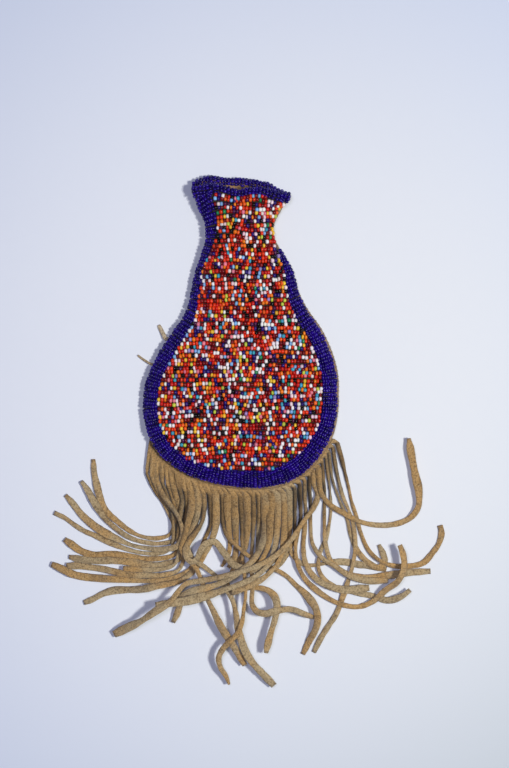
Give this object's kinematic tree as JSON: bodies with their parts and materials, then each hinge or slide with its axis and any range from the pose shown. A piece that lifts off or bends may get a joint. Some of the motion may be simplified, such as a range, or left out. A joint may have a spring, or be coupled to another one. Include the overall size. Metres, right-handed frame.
{
  "type": "corn planting bag",
  "caption": "Gourd-shaped hide pouch with an open neck, covered with seed beads in front, edged with a dark bead band, with long slit thongs along the bottom.",
  "frame": {"origin": "under the middle of the belly, on the outer face of the back panel that the pouch lies on", "axes": "+X to the right as the front is seen, +Y from the fringe towards the mouth, +Z out of the front face"},
  "size_m": [0.2144, 0.2773, 0.0157],
  "materials": {
    "back_hide": "smoked hide, matte",
    "front_hide": "smoked hide, matte",
    "field_glass": "glossy opaque seed beads of many colours, mostly red",
    "border_glass": "glossy navy seed beads",
    "front_rim_glass": "glossy navy seed beads",
    "back_rim_glass": "glossy navy seed beads",
    "fringe_hide": "smoked hide, matte, cut edges",
    "tie_upper_hide": "thin hide thong, matte",
    "tie_lower_hide": "thin hide thong, matte"
  },
  "bodies": {
    "root": {"back_panel": "back_hide", "front_panel": "front_hide", "bead_field": "field_glass", "bead_border": "border_glass", "front_rim": "front_rim_glass", "back_rim": "back_rim_glass", "fringe": "fringe_hide", "tie_end_upper": "tie_upper_hide", "tie_end_lower": "tie_lower_hide"}
  },
  "joints": []
}
